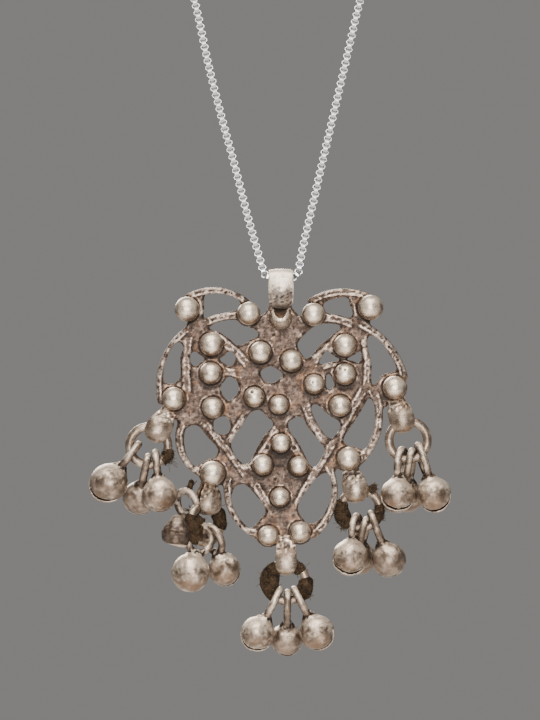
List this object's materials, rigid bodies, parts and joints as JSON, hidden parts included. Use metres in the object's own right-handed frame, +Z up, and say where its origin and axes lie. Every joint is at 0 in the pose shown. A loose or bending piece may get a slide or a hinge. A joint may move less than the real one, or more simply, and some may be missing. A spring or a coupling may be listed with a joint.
{
  "type": "pendant",
  "caption": "Old silver openwork pendant of flat wires and granules, with bells on jump rings, hanging by a strap bail on a bright box chain that makes a whole necklace.",
  "frame": {"origin": "the nape: the middle of the clasp, where the necklace hangs round the back of a neck", "axes": "+Z up, -Y to the front, +X to the viewer's right as the necklace is seen from the front"},
  "size_m": [0.1044, 0.1033, 0.3102],
  "materials": {
    "old_silver": "worn and tarnished",
    "bell_silver": "satin, worn",
    "bright_silver": "polished",
    "old_thread": "matt, frayed"
  },
  "bodies": {
    "necklace": {"chain": "bright_silver", "clasp": "bright_silver"},
    "pendant": {"bail": "old_silver", "openwork": "old_silver", "ring_left": "old_silver", "ring_lower_left": "old_silver", "ring_bottom": "old_silver", "ring_right": "old_silver", "ring_lower_right": "old_silver", "bell_left_a": "bell_silver", "bell_left_b": "bell_silver", "bell_left_c": "bell_silver", "bell_lower_left_a": "bell_silver", "bell_lower_left_b": "bell_silver", "bell_crushed": "bell_silver", "bell_bottom_a": "bell_silver", "bell_bottom_b": "bell_silver", "bell_bottom_c": "bell_silver", "bell_right_a": "bell_silver", "bell_right_b": "bell_silver", "bell_right_c": "bell_silver", "bell_lower_right_a": "bell_silver", "bell_lower_right_b": "bell_silver", "bell_lower_right_c": "bell_silver", "thread_bottom_left": "old_thread", "thread_bottom_right": "old_thread", "thread_lower_left": "old_thread", "thread_lower_right": "old_thread", "thread_tie": "old_thread"}
  },
  "joints": [
    {"name": "pendant_swing", "type": "hinge", "parent": "necklace", "child": "pendant", "pos_m": [0, -0.096, -0.24], "axis": [1, 0, 0], "range_deg": [-80, 80]}
  ]
}
